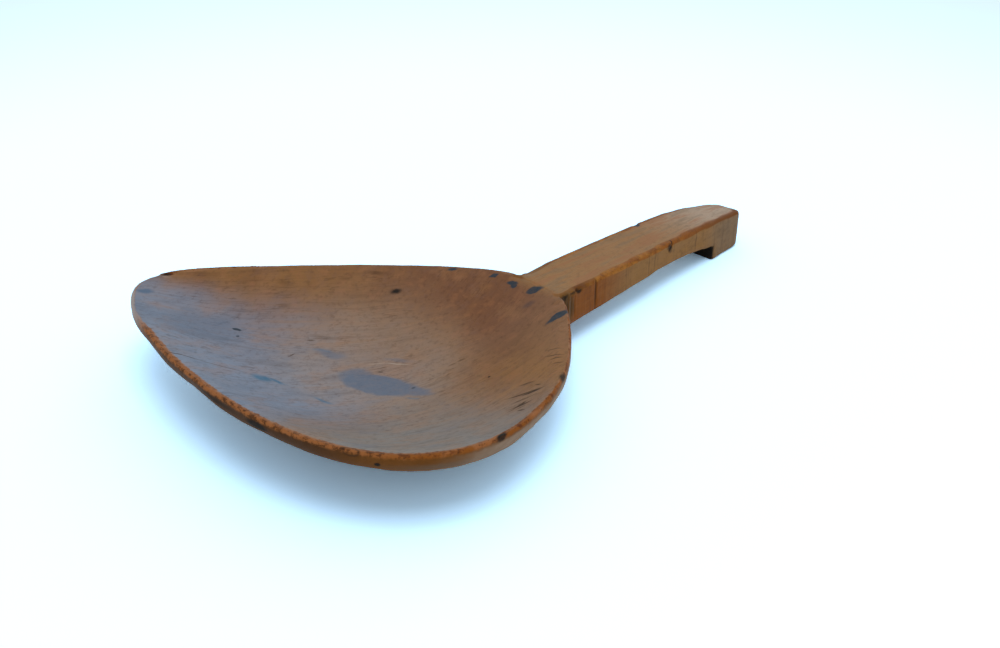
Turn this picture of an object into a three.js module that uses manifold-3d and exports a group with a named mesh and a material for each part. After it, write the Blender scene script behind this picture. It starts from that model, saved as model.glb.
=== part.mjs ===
// A hand-carved wooden butter scoop: a wide, shallow, lopsided bowl with a hooked handle,
// all cut from one piece of wood.
//
// Millimetres, +Z up. The origin is on the surface that the scoop rests on, where the handle's
// centre line passes over the bowl's worn foot. +X runs along the handle to its hook, and +Y
// points to the bowl's long corner. The scoop rests on the foot and on the hook's heel.

import * as THREE from 'three';
import { NURBSCurve } from 'three/addons/curves/NURBSCurve.js';
import { mergeVertices } from 'three/addons/utils/BufferGeometryUtils.js';
import Module from 'manifold-3d';

// The top face, which the rim and the handle share, falls towards the hook
const RIM_HEIGHT = 28.5; // over the origin
const TOP_FALL_DEGREES = 3;

// The bowl in plan
const BOWL_LENGTH = 143.5;
const BOWL_WIDTH = 175;
const BOWL_BACK = 69; // origin to the back edge, along the handle
const LONG_CORNER_REACH = 109.5; // origin to the tip of the long corner, across

// Corners that the rim's smooth outline rounds off, as shares of the bowl's length, from the
// front edge, and of its width, from the round side
const OUTLINE = [
  { along: -0.033, across: 0.44 }, // front edge
  { along: 0.062, across: 0.077 }, // worn corner
  { along: 0.424, across: -0.053 }, // round side
  { along: 0.797, across: 0.144 },
  { along: 1.069, across: 0.358 }, // under the handle
  { along: 0.905, across: 0.597 },
  { along: 0.523, across: 0.865 }, // straight side
  { along: 0.248, across: 1.063 }, // long corner
  { along: 0.068, across: 0.882 },
];
const OUTLINE_DEGREE = 3;

// The bowl in section
const FOOT_ALONG = -6; // centre of the worn foot
const FOOT_ACROSS = 8;
const FOOT_RADIUS = 15;
const FLOOR_THICKNESS = 9; // wood left over the foot
const DISH_POWER = 1.9; // 2 is a parabola, more makes a flatter bottom
const BELLY_POWER = 1.7;
const RIM_WALL = 2.6; // across the top of the rim
const FRONT_LIP = 4.9; // height of the rim's outer edge, pared thin at the front
const SIDE_LIP = 6.2; // and left full on the round side
const LIP_ROUND = 1.6; // its worn upper edge
const LIP_EASE = 2.4; // its lower edge, rounded off into the belly

// The handle
const HANDLE_LENGTH = 123; // from the bowl's back edge to the end
const NECK_WIDTH = 25;
const HANDLE_END_WIDTH = 22.2;
const TOP_STEP = 0.2; // the handle's top lies this far below the rim
const END_DROOP = 1;
const END_DROOP_LENGTH = 40;
const END_SWEEP_LENGTH = 50; // one long side sweeps in to the end
const END_SWEEP_DEPTH = 12;
const END_CORNER = 2.5; // rounding of the other corner
const NECK_UNDERSIDE = 8; // heights of the arched underside over the resting surface
const CROWN_UNDERSIDE = 9.9;
const TOP_ARRIS = 1.6; // rounding of the long edges
const LOWER_ARRIS = 1.2;
const NECK_ARRIS = 4; // fuller where the handle runs under the bowl
const NECK_ARRIS_LENGTH = 30;
const ROOT_DEPTH = 50; // how far the handle runs in under the bowl before it fades out

// The hook, a heel left standing under the handle's end
const HEEL_LENGTH = 20.5;
const NOTCH_HEIGHT = 7;
const HEEL_ROUND = 2.5;

// Facets
const BOWL_SIDES = 108;
const BELLY_RINGS = 10;
const DISH_RINGS = 12;
const ROUND_STEPS = 3;
const SHAFT_STEP = 5;
const OVERCUT = 1.03; // the hollow's cutter runs past the rim by this share
const CUTTER_HEADROOM = 6;

const WOOD = { color: 0x7d5c43, roughness: 0.55, metalness: 0 };

const ROUND_SIDE_REACH = BOWL_WIDTH - LONG_CORNER_REACH;
const HANDLE_END = BOWL_BACK + HANDLE_LENGTH;
const HEEL_ALONG = HANDLE_END - HEEL_LENGTH;
const CROWN_ALONG = (BOWL_BACK + HEEL_ALONG) / 2;
const TOP_FALL = Math.tan(THREE.MathUtils.degToRad(TOP_FALL_DEGREES));

const wasm = await Module();
wasm.setup();

// Height of the planed top face at a place along the scoop
function topHeight(x) {
  return RIM_HEIGHT - x * TOP_FALL;
}

// Points round the rim's outer edge, evenly spaced
function rimOutline() {
  const corners = OUTLINE.map(({ along, across }) => (
    new THREE.Vector4(along * BOWL_LENGTH, across * BOWL_WIDTH, 0, 1)
  ));
  const loop = [...corners, ...corners.slice(0, OUTLINE_DEGREE)];
  const knots = Array.from({ length: loop.length + OUTLINE_DEGREE + 1 }, (_, i) => i);
  const curve = new NURBSCurve(OUTLINE_DEGREE, knots, loop, OUTLINE_DEGREE, loop.length);
  const drawn = curve.getSpacedPoints(BOWL_SIDES).slice(0, BOWL_SIDES);
  const box = new THREE.Box3().setFromPoints(drawn);
  const size = box.getSize(new THREE.Vector3());
  return drawn.map(({ x, y }) => new THREE.Vector3(
    BOWL_BACK - (box.max.x - x) * (BOWL_LENGTH / size.x),
    LONG_CORNER_REACH - (box.max.y - y) * (BOWL_WIDTH / size.y),
    0,
  ));
}

// A closed skin over rings of equal count; a ring of one repeated point closes an end
function loft(rings) {
  const count = rings[0].length;
  const index = [];
  for (let ring = 0; ring + 1 < rings.length; ring += 1) {
    for (let side = 0; side < count; side += 1) {
      const next = (side + 1) % count;
      const a = ring * count + side;
      const b = ring * count + next;
      index.push(a, b, b + count, a, b + count, a + count);
    }
  }
  const skin = new THREE.BufferGeometry().setFromPoints(rings.flat());
  skin.setIndex(index);
  const merged = mergeVertices(skin);
  merged.setIndex(withoutEmptyFaces(merged.index.array));
  return merged;
}

// Triangles left after those with two equal corners are dropped
function withoutEmptyFaces(corners) {
  const kept = [];
  for (let i = 0; i < corners.length; i += 3) {
    const [a, b, c] = corners.slice(i, i + 3);
    if (a !== b && b !== c && c !== a) kept.push(a, b, c);
  }
  return kept;
}

// A ring of one repeated point
function pole(count, x, y, z) {
  return Array.from({ length: count }, () => new THREE.Vector3(x, y, z));
}

// The middle of a ring, as the pole that closes its end
function capOf(ring) {
  const middle = ring.reduce((sum, point) => sum.add(point), new THREE.Vector3());
  middle.divideScalar(ring.length);
  return pole(ring.length, middle.x, middle.y, middle.z);
}

// A point over the line from the foot's centre out to the rim
function overSpoke(edge, reach, height) {
  const spoke = new THREE.Vector2(edge.x - FOOT_ALONG, edge.y - FOOT_ACROSS).setLength(reach);
  const x = FOOT_ALONG + spoke.x;
  return new THREE.Vector3(x, FOOT_ACROSS + spoke.y, height(x));
}

function spokeLength(edge) {
  return Math.hypot(edge.x - FOOT_ALONG, edge.y - FOOT_ACROSS);
}

// Height of the rim's outer edge: thin along the front and the long corner, full on the round side
function lipHeight(edge) {
  const toRoundSide = THREE.MathUtils.smoothstep(-edge.y, 0, ROUND_SIDE_REACH);
  return THREE.MathUtils.lerp(FRONT_LIP, SIDE_LIP, toRoundSide);
}

// Height of the belly at a share of the way from the foot to the rim
function bellyHeight(edge, share) {
  return (topHeight(edge.x) - lipHeight(edge)) * share ** BELLY_POWER;
}

// The rounded lower edge of the lip, from the belly up to the upright face
function easedEdge(edge, share) {
  const reach = spokeLength(edge);
  const full = reach - FOOT_RADIUS;
  const corner = bellyHeight(edge, 1);
  const curve = new THREE.QuadraticBezierCurve(
    new THREE.Vector2(reach - LIP_EASE, bellyHeight(edge, (full - LIP_EASE) / full)),
    new THREE.Vector2(reach, corner),
    new THREE.Vector2(reach, corner + LIP_EASE),
  );
  const { x, y } = curve.getPoint(share);
  return overSpoke(edge, x, () => y);
}

// The bowl before hollowing: flat foot, rounded belly, upright lip and planed top
function bowlBlank(outline) {
  const rings = [pole(BOWL_SIDES, FOOT_ALONG, FOOT_ACROSS, 0)];
  for (let i = 0; i <= BELLY_RINGS; i += 1) {
    rings.push(outline.map((edge) => {
      const full = spokeLength(edge) - FOOT_RADIUS;
      const run = (full - LIP_EASE) * (i / BELLY_RINGS);
      return overSpoke(edge, FOOT_RADIUS + run, () => bellyHeight(edge, run / full));
    }));
  }
  for (let i = 1; i <= ROUND_STEPS; i += 1) {
    rings.push(outline.map((edge) => easedEdge(edge, i / ROUND_STEPS)));
  }
  const round = Math.min(LIP_ROUND, RIM_WALL);
  for (let i = 0; i <= ROUND_STEPS; i += 1) {
    const turn = (i / ROUND_STEPS) * Math.PI / 2;
    const inset = round * (1 - Math.cos(turn));
    const drop = round * (1 - Math.sin(turn));
    rings.push(outline.map((edge) => overSpoke(
      edge,
      spokeLength(edge) - inset,
      (x) => topHeight(x) - drop,
    )));
  }
  rings.push(pole(BOWL_SIDES, FOOT_ALONG, FOOT_ACROSS, topHeight(FOOT_ALONG)));
  return loft(rings);
}

// The hollow's cutter: a dish, round at its lowest point, that opens out to the rim's outline
function dishCutter(outline) {
  const lengths = outline.map(spokeLength);
  const roundReach = lengths.reduce((sum, length) => sum + length) / lengths.length;
  const fullDepth = topHeight(FOOT_ALONG) - FLOOR_THICKNESS;
  const dishRing = (share, lift) => outline.map((edge) => {
    const toOutline = THREE.MathUtils.smoothstep(share, 0, 1);
    const reach = THREE.MathUtils.lerp(roundReach, spokeLength(edge), toOutline) - RIM_WALL;
    const depth = fullDepth * (1 - share ** DISH_POWER);
    return overSpoke(edge, reach * share, (x) => topHeight(x) - depth + lift);
  });
  const rings = [pole(BOWL_SIDES, FOOT_ALONG, FOOT_ACROSS, FLOOR_THICKNESS)];
  for (let i = 1; i <= DISH_RINGS; i += 1) {
    rings.push(dishRing(OVERCUT * (i / DISH_RINGS), 0));
  }
  rings.push(dishRing(OVERCUT, CUTTER_HEADROOM));
  const above = topHeight(BOWL_BACK - BOWL_LENGTH) + CUTTER_HEADROOM;
  rings.push(pole(BOWL_SIDES, FOOT_ALONG, FOOT_ACROSS, above));
  return loft(rings);
}

// How far an edge has turned in by quarter ellipse at a place near the handle's end
function endRound(x, length, depth) {
  const along = THREE.MathUtils.clamp((x - HANDLE_END + length) / length, 0, 1);
  return depth * (1 - Math.sqrt(1 - along * along));
}

// Height of the handle's arched underside
function underside(x) {
  const onNeckSide = x < CROWN_ALONG;
  const end = onNeckSide ? BOWL_BACK : HEEL_ALONG;
  const endHeight = onNeckSide ? NECK_UNDERSIDE : NOTCH_HEIGHT;
  const share = (x - CROWN_ALONG) / (end - CROWN_ALONG);
  return CROWN_UNDERSIDE - (CROWN_UNDERSIDE - endHeight) * share * share;
}

// One round-edged section of the handle, with its bottom at the given height
function handleSection(x, bottom) {
  const along = Math.max(0, (x - BOWL_BACK) / (HANDLE_END - BOWL_BACK));
  const half = THREE.MathUtils.lerp(NECK_WIDTH, HANDLE_END_WIDTH, along) / 2;
  const left = half - endRound(x, END_SWEEP_LENGTH, END_SWEEP_DEPTH);
  const right = -half + endRound(x, END_CORNER, END_CORNER);
  const droop = Math.max(0, 1 - (HANDLE_END - x) / END_DROOP_LENGTH);
  const eased = endRound(x, TOP_ARRIS, TOP_ARRIS);
  const top = topHeight(x) - TOP_STEP - END_DROOP * droop * droop - eased;

  const limit = Math.min(left - right, top - bottom) / 2;
  const fromNeck = THREE.MathUtils.smoothstep(x, BOWL_BACK, BOWL_BACK + NECK_ARRIS_LENGTH);
  const topRound = Math.min(TOP_ARRIS, limit);
  const lowRound = Math.min(THREE.MathUtils.lerp(NECK_ARRIS, LOWER_ARRIS, fromNeck), limit);
  const seam = Math.max(bottom + lowRound, x < HEEL_ALONG ? 0 : NOTCH_HEIGHT + LOWER_ARRIS);

  const ring = [];
  const corner = (y, z, radius, start) => {
    for (let i = 0; i <= ROUND_STEPS; i += 1) {
      const turn = start + (i / ROUND_STEPS) * Math.PI / 2;
      ring.push(new THREE.Vector3(x, y + radius * Math.cos(turn), z + radius * Math.sin(turn)));
    }
  };
  corner(right + lowRound, bottom + lowRound, lowRound, Math.PI);
  corner(left - lowRound, bottom + lowRound, lowRound, 1.5 * Math.PI);
  ring.push(new THREE.Vector3(x, left, seam));
  corner(left - topRound, top - topRound, topRound, 0);
  corner(right + topRound, top - topRound, topRound, 0.5 * Math.PI);
  ring.push(new THREE.Vector3(x, right, seam));
  return ring;
}

// The handle's billet, from under the rim to the rounded end, with the heel left standing
function handleBlank() {
  const root = BOWL_BACK - ROOT_DEPTH;
  const rings = [];
  const shaftSteps = Math.ceil((HEEL_ALONG - root) / SHAFT_STEP);
  for (let i = 0; i <= shaftSteps; i += 1) {
    const x = THREE.MathUtils.lerp(root, HEEL_ALONG, i / shaftSteps);
    rings.push(handleSection(x, underside(x)));
  }
  const cornerStart = HANDLE_END - END_CORNER;
  const heelSteps = Math.ceil((cornerStart - HEEL_ALONG) / SHAFT_STEP);
  for (let i = 0; i <= heelSteps; i += 1) {
    const x = THREE.MathUtils.lerp(HEEL_ALONG, cornerStart, i / heelSteps);
    rings.push(handleSection(x, endRound(x, HEEL_ROUND, HEEL_ROUND)));
  }
  for (let i = 1; i <= ROUND_STEPS; i += 1) {
    const x = cornerStart + END_CORNER * Math.sin((i / ROUND_STEPS) * Math.PI / 2);
    rings.push(handleSection(x, endRound(x, HEEL_ROUND, HEEL_ROUND)));
  }
  return loft([capOf(rings[0]), ...rings, capOf(rings.at(-1))]);
}

// A closed skin as a solid that can be joined and cut
function solidOf(skin) {
  return new wasm.Manifold(new wasm.Mesh({
    numProp: 3,
    vertProperties: new Float32Array(skin.attributes.position.array),
    triVerts: new Uint32Array(skin.index.array),
  }));
}

// A finished solid as geometry
function geometryOf(solid) {
  const mesh = solid.getMesh();
  const geometry = new THREE.BufferGeometry();
  geometry.setAttribute('position', new THREE.BufferAttribute(mesh.vertProperties, mesh.numProp));
  geometry.setIndex(new THREE.BufferAttribute(mesh.triVerts, 1));
  geometry.computeVertexNormals();
  return geometry;
}

// The carving: bowl and handle left in one billet, then the bowl hollowed out
function carvedScoop() {
  const outline = rimOutline();
  const billet = solidOf(bowlBlank(outline)).add(solidOf(handleBlank()));
  return geometryOf(billet.subtract(solidOf(dishCutter(outline))));
}

const scoop = new THREE.Mesh(carvedScoop(), new THREE.MeshStandardMaterial(WOOD));
scoop.name = 'scoop';

const group = new THREE.Group();
group.add(scoop);

export default group;
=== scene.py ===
"""A butter scoop carved from one piece of wood, worn by long use, on a pale studio floor.

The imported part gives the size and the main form. The carving here is a finer copy of that form,
with the unevenness of hand work, the splits, nicks and bruises of use, and a finish of old bare
wood. Objects are in metres in the part's own frame: +X along the handle, +Z up. The carving, its
cuts and the marks on it are given in millimetres.
"""

import logging
import math
from dataclasses import dataclass
from enum import Enum
from random import Random
from typing import ClassVar

import bpy
import numpy as np
from mathutils import Euler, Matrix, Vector


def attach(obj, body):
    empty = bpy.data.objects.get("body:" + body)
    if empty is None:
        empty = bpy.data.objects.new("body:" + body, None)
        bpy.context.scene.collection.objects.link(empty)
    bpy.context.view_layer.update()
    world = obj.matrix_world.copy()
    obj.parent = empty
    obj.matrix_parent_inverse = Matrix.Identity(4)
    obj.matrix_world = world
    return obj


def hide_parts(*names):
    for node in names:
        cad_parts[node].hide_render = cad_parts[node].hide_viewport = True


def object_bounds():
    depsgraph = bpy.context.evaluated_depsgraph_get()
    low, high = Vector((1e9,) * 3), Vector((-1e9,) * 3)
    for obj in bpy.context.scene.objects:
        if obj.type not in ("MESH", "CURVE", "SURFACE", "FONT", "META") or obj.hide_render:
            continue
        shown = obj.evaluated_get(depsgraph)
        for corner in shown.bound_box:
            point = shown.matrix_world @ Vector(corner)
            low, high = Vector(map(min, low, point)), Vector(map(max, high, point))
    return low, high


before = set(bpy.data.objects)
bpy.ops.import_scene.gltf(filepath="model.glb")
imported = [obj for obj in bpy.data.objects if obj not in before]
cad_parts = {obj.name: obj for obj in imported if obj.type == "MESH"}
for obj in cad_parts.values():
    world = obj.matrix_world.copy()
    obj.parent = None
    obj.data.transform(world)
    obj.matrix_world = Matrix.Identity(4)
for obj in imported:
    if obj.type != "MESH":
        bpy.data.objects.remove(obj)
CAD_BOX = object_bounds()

LOG = logging.getLogger("butter_scoop")
MM = 0.001
NODE = "scoop"
BODY = "root"

# The way from the foot to the far rim, in plan
FAR_HEADING = (0.63, 0.78)

Number = float | int
Colour = tuple[float, float, float, float]
Place = tuple[float, float, float]
Span = tuple[float, float]


def srgb(red: int, green: int, blue: int) -> Colour:
    """Turn a colour as a screen shows it into the linear one that a shader takes.

    Args:
        red: Screen value from 0 to 255.
        green: Screen value from 0 to 255.
        blue: Screen value from 0 to 255.

    Returns:
        The linear colour, with full alpha.
    """
    def linear(value: int) -> float:
        """Undo the screen curve for one channel."""
        share = value / 255
        return share / 12.92 if share <= 0.04045 else ((share + 0.055) / 1.055) ** 2.4

    return (linear(red), linear(green), linear(blue), 1.0)


def ease(value: np.ndarray, low: float, high: float) -> np.ndarray:
    """Rise smoothly from 0 at one value to 1 at another.

    Args:
        value: The values to judge.
        low: Where the rise starts.
        high: Where the rise ends, which may lie below its start.

    Returns:
        An array of shares from 0 to 1.
    """
    share = np.clip((value - low) / (high - low), 0, 1)
    return share * share * (3 - 2 * share)


def ripple(points: np.ndarray, length: float, seed: int, waves: int = 7) -> np.ndarray:
    """Sum a few slow waves in chance directions, as the unevenness that a hand tool leaves.

    Args:
        points: One place in each row.
        length: The usual length of a wave, in the same unit.
        seed: Start of the chance draws.
        waves: How many waves to sum.

    Returns:
        Heights, mostly between -1 and 1.
    """
    draw = Random(seed)
    total = np.zeros(len(points))
    for _ in range(waves):
        heading = Vector([draw.gauss(0, 1) for _ in range(3)]).normalized()
        pace = math.tau / (length * draw.uniform(0.7, 1.5))
        total += np.sin(points @ np.array(heading) * pace + draw.uniform(0, math.tau))
    return total / math.sqrt(waves)


def chance(first: np.ndarray, second: np.ndarray) -> np.ndarray:
    """Give each pair of whole numbers a steady chance number, by the usual sine hash.

    Args:
        first: One whole number of each pair.
        second: The other.

    Returns:
        Numbers from 0 to 1.
    """
    mixed = np.sin(12.9898 * first + 78.233 * second) * 43758.5453
    return mixed - np.floor(mixed)


class Link:
    """A socket of a shader tree, with arithmetic that adds the Math nodes it needs."""

    def __init__(self, tree: "Tree", socket: bpy.types.NodeSocket | None) -> None:
        """Keep the tree that nodes are added to, and the socket, if the node gives one."""
        self.tree = tree
        self.socket = socket

    def math(self, operation: str, *values: "Link | Number") -> "Link":
        """Add a Math node.

        Args:
            operation: The node's operation.
            values: What goes into its sockets, in order.

        Returns:
            The node's result.
        """
        return self.tree.node("Math", {"operation": operation}, dict(enumerate(values)))

    def __add__(self, other: "Link | Number") -> "Link":
        """Add."""
        return self.math("ADD", self, other)

    def __radd__(self, other: Number) -> "Link":
        """Add to a number."""
        return self.math("ADD", other, self)

    def __sub__(self, other: "Link | Number") -> "Link":
        """Take away."""
        return self.math("SUBTRACT", self, other)

    def __rsub__(self, other: Number) -> "Link":
        """Take away from a number."""
        return self.math("SUBTRACT", other, self)

    def __mul__(self, other: "Link | Number") -> "Link":
        """Multiply."""
        return self.math("MULTIPLY", self, other)

    def __rmul__(self, other: Number) -> "Link":
        """Multiply a number."""
        return self.math("MULTIPLY", other, self)

    def __or__(self, other: "Link | Number") -> "Link":
        """Take the greater of two masks."""
        return self.math("MAXIMUM", self, other)

    def __and__(self, other: "Link | Number") -> "Link":
        """Take the lesser of two masks."""
        return self.math("MINIMUM", self, other)

    def rise(self, low: float, high: float, start: float = 0.0, end: float = 1.0) -> "Link":
        """Go smoothly from one number to another over a stretch of values.

        Args:
            low: Where the change starts.
            high: Where the change ends.
            start: The number before it.
            end: The number after it.

        Returns:
            The changing number.
        """
        return self.tree.node(
            "MapRange",
            {"interpolation_type": "SMOOTHSTEP", "clamp": True},
            {"Value": self, "From Min": low, "From Max": high, "To Min": start, "To Max": end},
        )

    def fall(self, low: float, high: float) -> "Link":
        """Fall smoothly from 1 at one value to 0 at another, the reverse of a rise."""
        return self.rise(low, high, 1.0, 0.0)


class Tree:
    """A shader tree that is written as expressions."""

    def __init__(self, owner: bpy.types.Material | bpy.types.World) -> None:
        """Start with an empty tree for a material or a world."""
        owner.use_nodes = True
        self.nodes = owner.node_tree.nodes
        self.links = owner.node_tree.links
        self.nodes.clear()

    def node(
        self,
        kind: str,
        settings: dict[str, object] | None = None,
        sockets: dict[str | int, object] | None = None,
        result: str | int = 0,
    ) -> Link:
        """Add any node.

        Args:
            kind: The node's type, without its ShaderNode start.
            settings: Its own settings, which are set first.
            sockets: Values or links for its inputs, by identifier, name or place.
            result: The output to return, by identifier, name or place.

        Returns:
            A link to that output.
        """
        made = self.nodes.new("ShaderNode" + kind)
        for name, value in (settings or {}).items():
            setattr(made, name, value)
        for name, value in (sockets or {}).items():
            socket = self._socket(made.inputs, name)
            if isinstance(value, Link):
                self.links.new(value.socket, socket)
            else:
                socket.default_value = value
        return Link(self, self._socket(made.outputs, result) if made.outputs else None)

    @staticmethod
    def _socket(sockets: bpy.types.bpy_prop_collection, name: str | int) -> bpy.types.NodeSocket:
        """Find a socket by its identifier, or else by its name or place."""
        named = [one for one in sockets if one.identifier == name]
        return named[0] if named else sockets[name]

    def mix(self, share: Link | float, first: object, second: object, how: str = "MIX") -> Link:
        """Mix two colours.

        Args:
            share: How much of the second.
            first: A colour or a link to one.
            second: A colour or a link to one.
            how: The way they mix.

        Returns:
            The mixed colour.
        """
        return self.node(
            "Mix",
            {"data_type": "RGBA", "blend_type": how},
            {"Factor_Float": share, "A_Color": first, "B_Color": second},
            "Result_Color",
        )

    def vector(self, operation: str, *values: object) -> Link:
        """Add a Vector Math node.

        Args:
            operation: The node's operation.
            values: What goes into its sockets, in order.

        Returns:
            The node's vector, or its number for a length or a product.
        """
        result = "Value" if operation in ("LENGTH", "DOT_PRODUCT", "DISTANCE") else "Vector"
        return self.node("VectorMath", {"operation": operation}, dict(enumerate(values)), result)

    def noise(self, place: Link, stretch: Place, detail: float = 2, roughness: float = 0.5) -> Link:
        """Add a noise that is drawn out along the axes.

        Args:
            place: Where on the piece, in millimetres.
            stretch: Size of the noise's features along X, Y and Z, in millimetres.
            detail: How many finer layers it has.
            roughness: How strong those are.

        Returns:
            The noise, about one half on average.
        """
        return self.node(
            "TexNoise",
            {},
            {
                "Vector": self.vector("DIVIDE", place, stretch),
                "Scale": 1.0,
                "Detail": detail,
                "Roughness": roughness,
            },
        )

    def wander(self, place: Link, size: float, reach: Place) -> Link:
        """Move each place a little by noise, so that lines waver and edges fray.

        Args:
            place: Where on the piece, in millimetres.
            size: Size of the noise's features, in millimetres.
            reach: How far places move along X, Y and Z, in millimetres.

        Returns:
            The moved place.
        """
        cloud = self.node(
            "TexNoise", {}, {"Vector": place, "Scale": 1 / size, "Detail": 2.0}, "Color",
        )
        shift = self.vector(
            "MULTIPLY_ADD", cloud, tuple(2 * one for one in reach), tuple(-one for one in reach),
        )
        return self.vector("ADD", place, shift)

    def split(self, vector: Link) -> tuple[Link, Link, Link]:
        """Take a vector apart into its X, Y and Z."""
        outputs = self.node("SeparateXYZ", {}, {"Vector": vector}).socket.node.outputs
        return tuple(Link(self, socket) for socket in outputs)

    def attribute(self, name: str) -> Link:
        """Read a number that the mesh holds for each vertex."""
        return self.node("Attribute", {"attribute_name": name}, {}, "Fac")


class Stain(Enum):
    """What marks the wood."""

    TORN = "rough torn grain"
    SLATE = "dark bruise"
    DUSK = "blue-grey stain"
    TEAL = "small blue-green stain"
    SOOT = "near-black grime"
    UMBER = "brown scratch"
    PALE = "light scratch"


@dataclass(frozen=True)
class Mark:
    """A stain or scratch, as a form that the surface cuts. Lengths are millimetres.

    A plain mark is an ellipsoid, and a ring if it is hollow. A leaf has a point at its start and
    a round end.
    """

    place: Place
    reach: Place
    turn: float = 0.0
    tilt: float = 0.0
    soft: float = 0.3
    share: float = 1.0
    leaf: bool = False
    hollow: float = 0.0

    LEAST_DEPTH: ClassVar[float] = 2.4
    LEAF_SOFT: ClassVar[float] = 0.35
    LINE_SOFT: ClassVar[float] = 0.5

    @classmethod
    def between(
        cls,
        start: Place,
        end: Place,
        width: float,
        share: float = 1.0,
        leaf: bool = False,
    ) -> "Mark":
        """Draw a scratch or leaf from one point to another.

        Args:
            start: One end, the pointed one of a leaf.
            end: The other end.
            width: Half its width.
            share: How strong it is.
            leaf: Whether it is a leaf.

        Returns:
            The mark, which reaches a little way into the wood.
        """
        run = Vector(end) - Vector(start)
        middle = (Vector(start) + Vector(end)) / 2
        turn = math.degrees(math.atan2(run.y, run.x))
        tilt = math.degrees(math.asin(run.z / run.length))
        into = max(cls.LEAST_DEPTH, 2 * width)
        upright = abs(run.z) > 2 * math.hypot(run.x, run.y)
        reach = (run.length / 2, into, width) if upright else (run.length / 2, width, into)
        soft = cls.LEAF_SOFT if leaf else cls.LINE_SOFT
        return cls(tuple(middle), reach, turn, tilt, soft, share, leaf)

    def mask(self, tree: Tree, place: Link) -> Link:
        """Give the share of the mark over the surface.

        Args:
            tree: The tree that gets the nodes.
            place: Where on the piece, in millimetres.

        Returns:
            A mask, as strong as the mark inside it.
        """
        axes = Euler((0.0, math.radians(-self.tilt), math.radians(self.turn))).to_matrix().col
        off = tree.vector("SUBTRACT", place, self.place)
        along, across, into = (
            tree.vector("DOT_PRODUCT", off, tuple(axis / reach))
            for axis, reach in zip(axes, self.reach)
        )
        beside = across * across + into * into
        if self.leaf:
            # A power of 1 gives the pointed half, and 2 the round one
            power = 1.5 + along.math("SIGN", along) * 0.5
            spread = along.math("POWER", along.math("ABSOLUTE", along), power) + beside
        else:
            spread = along.math("SQRT", along * along + beside)
        filled = spread.rise(1 - self.soft, 1 + self.soft, self.share, 0.0)
        if self.hollow:
            return filled * spread.rise(self.hollow - self.soft, self.hollow + self.soft)
        return filled


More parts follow.
